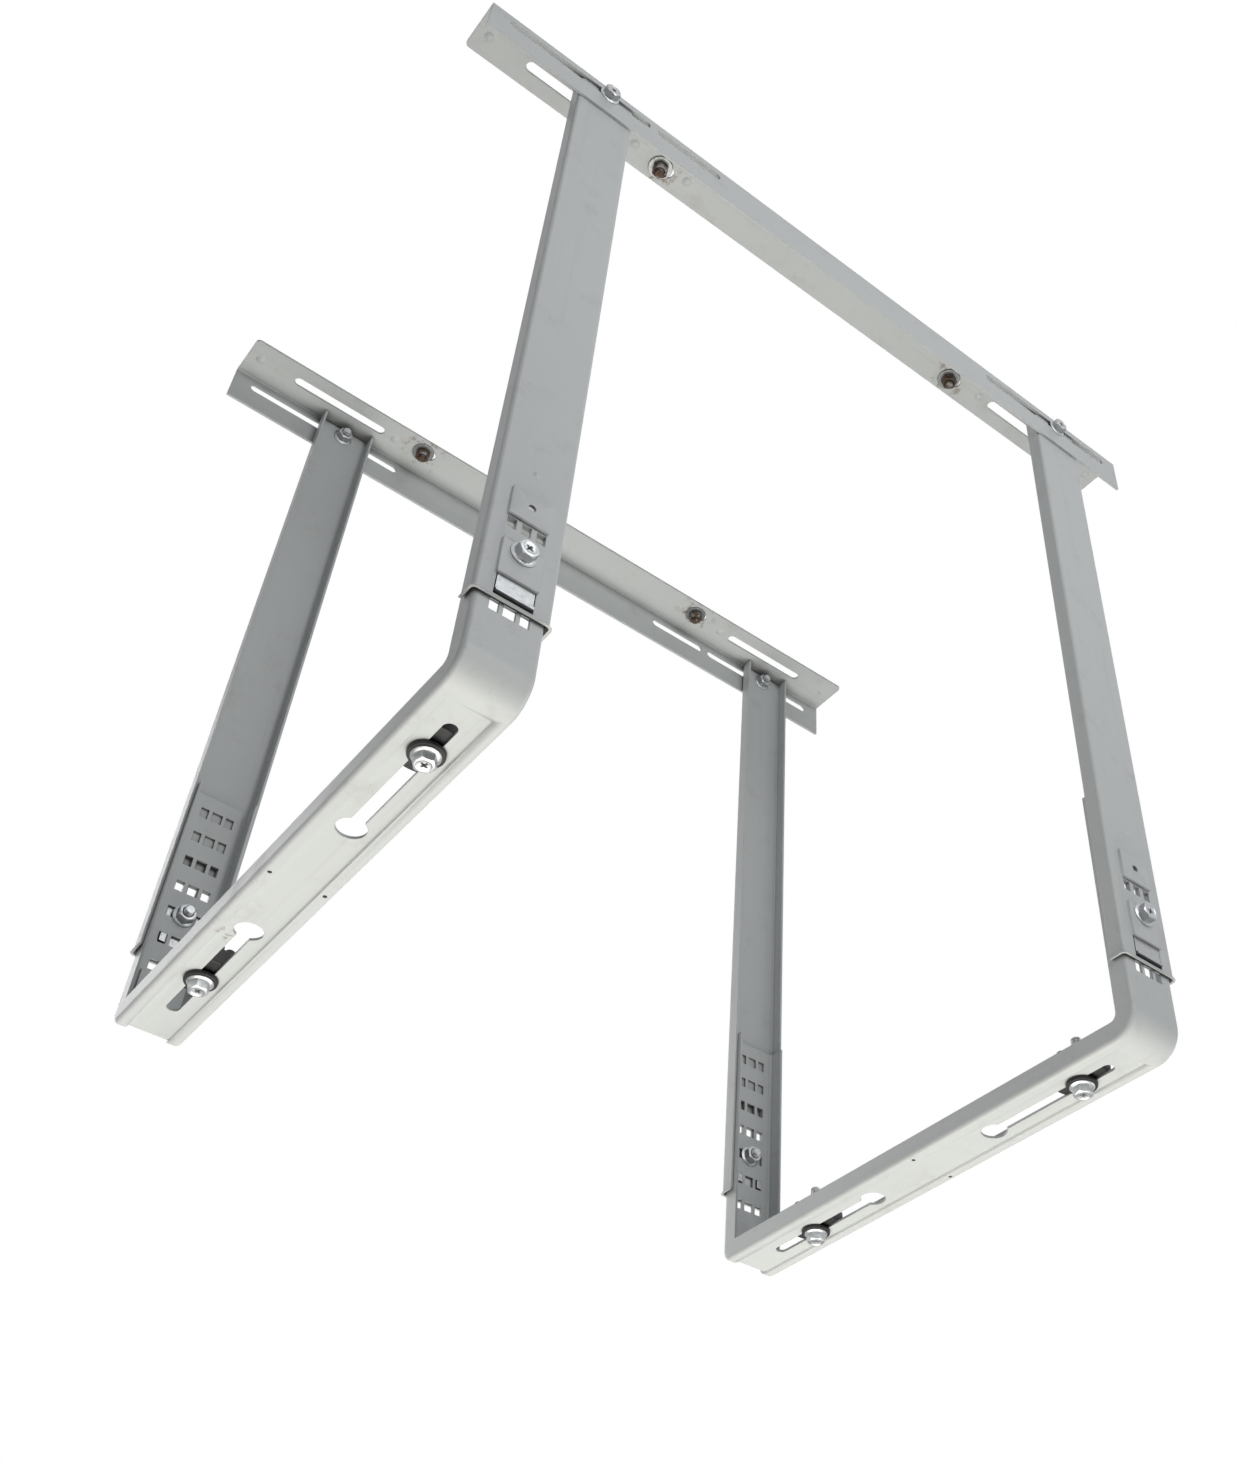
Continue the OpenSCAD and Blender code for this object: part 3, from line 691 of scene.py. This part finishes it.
class BRACKET_OT_rubber_pads(bpy.types.Operator):
    """Makes the knobbed rubber pads on the arms and the rubber washers under them"""

    bl_idname = "bracket.rubber_pads"
    bl_label = "Rubber pads and washers"

    def execute(self, context):
        size = context.scene.bracket_pads
        finish = moulded_rubber("moulded_rubber", context.scene.bracket_look)
        for corner in CORNERS:
            node = f"{corner}_pad"
            low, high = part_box(node)
            spot = Vector((middle(node).x, middle(node).y, low.z))
            pad_d, pad_h = across(node, 0), high.z - low.z
            base_h = pad_h - size.knob_h
            pad = washer_mesh(pad_d, size.bore_d, base_h, 0.0012)
            boss = washer_mesh(size.boss_d, size.bore_d, pad_h - base_h * 0.5, 0.0008)
            bmesh.ops.translate(boss, vec=(0, 0, base_h * 0.5), verts=boss.verts)
            mesh = bpy.data.meshes.new("boss")
            boss.to_mesh(mesh)
            boss.free()
            pad.from_mesh(mesh)
            bpy.data.meshes.remove(mesh)
            outer_r = (pad_d - size.knob_d) / 2 - 0.0004
            inner_r = (size.boss_d / 2 + outer_r - size.knob_d / 2) / 2
            rings = [(size.knobs_outer, outer_r, size.knob_d), (size.knobs_inner, inner_r, size.knob_inner_d)]
            for count, ring_r, d in rings:
                for k in range(count):
                    a = k / count * math.tau
                    knob_mesh(pad, (ring_r * math.cos(a), ring_r * math.sin(a), 0), d, base_h, pad_h, d * 0.2)
            place_piece(pad, f"{node}_moulded", finish, Matrix.Translation(spot), [node])
            node = f"{corner}_foot_washer"
            low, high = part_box(node)
            spot = Vector((middle(node).x, middle(node).y, low.z))
            mesh = washer_mesh(across(node, 0), size.bore_d, high.z - low.z, 0.0007)
            place_piece(mesh, f"{node}_moulded", finish, Matrix.Translation(spot), [node])
        return {"FINISHED"}


def anchor_point(corner):
    """Where a ceiling anchor comes through a rail's flange: off its slot's middle, as it was drilled."""
    holes = {m["name"]: m for m in frame["record"]["mounts"]}["ceiling_fixing"]["dims"]
    pitch_x, pitch_y = holes["spacing_x_mm"] / 1000, holes["spacing_y_mm"] / 1000
    side = -1 if "left" in corner else 1
    end = -1 if "front" in corner else 1
    return Vector((side * pitch_x / 2 - 0.0035, end * pitch_y / 2, -0.0023))


class BRACKET_OT_ceiling_anchors(bpy.types.Operator):
    """Makes the dull zinc washers, and the rusted nuts and thread ends, that hold the rails to the ceiling"""

    bl_idname = "bracket.ceiling_anchors"
    bl_label = "Ceiling anchors"

    def execute(self, context):
        size = context.scene.bracket_fasteners
        finish = rusted_steel("rusted_anchor", context.scene.bracket_look)
        dull_zinc = zinc_plate("dull_zinc_washer", context.scene.bracket_look, 2, 0.5)
        washer_t, nut_h = 0.0018, 0.0068
        for corner in CORNERS:
            down = facing(anchor_point(corner), -UP, twist_of(corner))
            washer = washer_mesh(size.anchor_washer_d, size.thread_d + 0.0004, washer_t, 0.0005)
            place_piece(washer, f"{corner}_anchor_washer", dull_zinc, down)
            t = Turning(48)
            bore = size.thread_d / 2
            t.start(bore, washer_t + 0.0006, capped=False).grow(bore + 0.0006, washer_t)
            t.grow(size.flats / 2 * 0.95, washer_t)
            t.grow(lambda a: size.flats / 2, washer_t + 0.0003)
            t.hexagon(size.flats, washer_t + 0.0004, washer_t + nut_h - 0.001, 0.0002)
            t.grow(size.flats / 2 * 0.95, washer_t + nut_h).grow(bore + 0.0006, washer_t + nut_h)
            t.grow(bore, washer_t + nut_h - 0.0006)
            place_piece(t.join_ends(), f"{corner}_anchor_nut", finish, down)
            t = Turning(32)
            end = washer_t + nut_h + size.anchor_reach
            t.start(bore - 0.0003, -0.0015).grow(bore - 0.0003, washer_t + nut_h * 0.5)
            t.thread(bore - 0.0001, washer_t + nut_h * 0.6, end - 0.0008, size.pitch, size.pitch * 0.5)
            t.grow(bore - 0.0009, end)
            place_piece(t.close(), f"{corner}_anchor_thread", finish, down)
        return {"FINISHED"}


class BRACKET_OT_studio(bpy.types.Operator):
    """Sets the floor, the lamps, the backdrop and the camera"""

    bl_idname = "bracket.studio"
    bl_label = "Studio"

    def execute(self, context):
        setup = context.scene.bracket_studio
        self.floor(context, setup)
        self.backdrop(context, setup)
        target = Vector((0, 0, -0.4))
        self.lamp(context, "lamp_under", (0.12, 0.15, 0.12 - setup.floor_drop), target, 1.8, setup.under,
                  setup.warmth)
        self.lamp(context, "lamp_right", (1.9, -0.7, -1.75), target, 1.5, setup.side)
        self.lamp(context, "lamp_fore", (0.05, -1.35, -0.1), target, 1.0, setup.fore)
        self.lamp(context, "lamp_back", (-0.5, 2.7, 0.7), target, 1.8, setup.back)
        self.camera(context, setup)
        context.scene.view_settings.view_transform = "Standard"
        return {"FINISHED"}

    def floor(self, context, setup):
        bm = bmesh.new()
        bmesh.ops.create_grid(bm, x_segments=1, y_segments=1, size=9.0)
        bmesh.ops.translate(bm, vec=(0, 0, -setup.floor_drop), verts=bm.verts)
        mesh = bpy.data.meshes.new("studio_floor")
        bm.to_mesh(mesh)
        bm.free()
        f = new_finish("studio_floor")
        tone = f.noise(f.place(), 1.5, 2.0)
        colour = f.mix(tone, (0.84, 0.84, 0.84, 1), (0.87, 0.87, 0.87, 1))
        seen = f.node("ShaderNodeLightPath", output="Is Camera Ray")
        fill = f.mix(seen, (0, 0, 0, 1), (0.34, 0.34, 0.34, 1))
        surface = f.surface(Base_Color=colour, Roughness=0.9, Emission_Color=fill, Emission_Strength=1.0)
        mesh.materials.append(surface)
        floor = bpy.data.objects.new("studio_floor", mesh)
        context.scene.collection.objects.link(floor)

    def backdrop(self, context, setup):
        world = context.scene.world or bpy.data.worlds.new("studio_world")
        context.scene.world = world
        f = Finish(world)
        seen = f.node("ShaderNodeLightPath", output="Is Camera Ray")
        mirrored = f.node("ShaderNodeLightPath", output="Is Glossy Ray")
        level = setup.ambient
        colour = f.mix(seen.larger(mirrored), (level, level, level * 1.02, 1), (1, 1, 1, 1))
        light = f.node("ShaderNodeBackground", {"Color": colour, "Strength": 1.0})
        f.node("ShaderNodeOutputWorld", {"Surface": light})

    def lamp(self, context, name, point, target, size, power, colour=(1, 1, 1)):
        data = bpy.data.lights.new(name, "AREA")
        data.shape, data.size, data.energy, data.color = "DISK", size, power, colour
        lamp = bpy.data.objects.new(name, data)
        lamp.location = point
        lamp.rotation_euler = (target - Vector(point)).to_track_quat("-Z", "Y").to_euler()
        lamp.visible_camera = False
        context.scene.collection.objects.link(lamp)

    def camera(self, context, setup):
        data = bpy.data.cameras.new("camera")
        data.sensor_width = 36
        data.lens = setup.focal
        data.shift_x, data.shift_y = -0.10, -0.04
        data.clip_start, data.clip_end = 0.05, 60
        camera = bpy.data.objects.new("camera", data)
        across_view = Vector((0.77721145, -0.62895892, 0.01878923))
        down_view = Vector((0.45773179, 0.54463054, -0.70275116))
        into_view = Vector((0.43176842, 0.55478668, 0.71118758))
        turn = Matrix((across_view, -down_view, -into_view)).transposed().to_4x4()
        camera.matrix_world = Matrix.Translation((-0.53485949, -0.83111836, -1.35766436)) @ turn
        context.scene.collection.objects.link(camera)
        context.scene.camera = camera


OPERATORS = (
    BRACKET_OT_painted_sheet,
    BRACKET_OT_lock_plates,
    BRACKET_OT_clamp_bolts,
    BRACKET_OT_foot_bolts,
    BRACKET_OT_rubber_pads,
    BRACKET_OT_ceiling_anchors,
    BRACKET_OT_studio,
)


class BRACKET_PT_pieces(bpy.types.Panel):
    """The steps that dress the bracket, and their sizes and colours"""

    bl_idname = "BRACKET_PT_pieces"
    bl_label = "Ceiling hanging bracket"
    bl_space_type = "VIEW_3D"
    bl_region_type = "UI"
    bl_category = "Bracket"

    def draw(self, context):
        for step in OPERATORS:
            self.layout.operator(step.bl_idname)
        for group in SETTINGS:
            box = self.layout.box()
            box.label(text=group.__doc__)
            for name in group.__annotations__:
                box.prop(getattr(context.scene, SETTINGS[group]), name)


SETTINGS = {
    BracketLook: "bracket_look",
    FastenerSizes: "bracket_fasteners",
    PadSizes: "bracket_pads",
    StudioSetup: "bracket_studio",
}


def register():
    for kind in (*SETTINGS, *OPERATORS, BRACKET_PT_pieces):
        bpy.utils.register_class(kind)
    for group, name in SETTINGS.items():
        setattr(bpy.types.Scene, name, PointerProperty(type=group))


def unregister():
    for name in SETTINGS.values():
        delattr(bpy.types.Scene, name)
    for kind in (BRACKET_PT_pieces, *reversed(OPERATORS), *reversed(SETTINGS)):
        bpy.utils.unregister_class(kind)


def main():
    register()
    bpy.ops.bracket.painted_sheet()
    bpy.ops.bracket.lock_plates()
    bpy.ops.bracket.clamp_bolts()
    bpy.ops.bracket.foot_bolts()
    bpy.ops.bracket.rubber_pads()
    bpy.ops.bracket.ceiling_anchors()
    bpy.ops.bracket.studio()


if __name__ == "__main__":
    main()
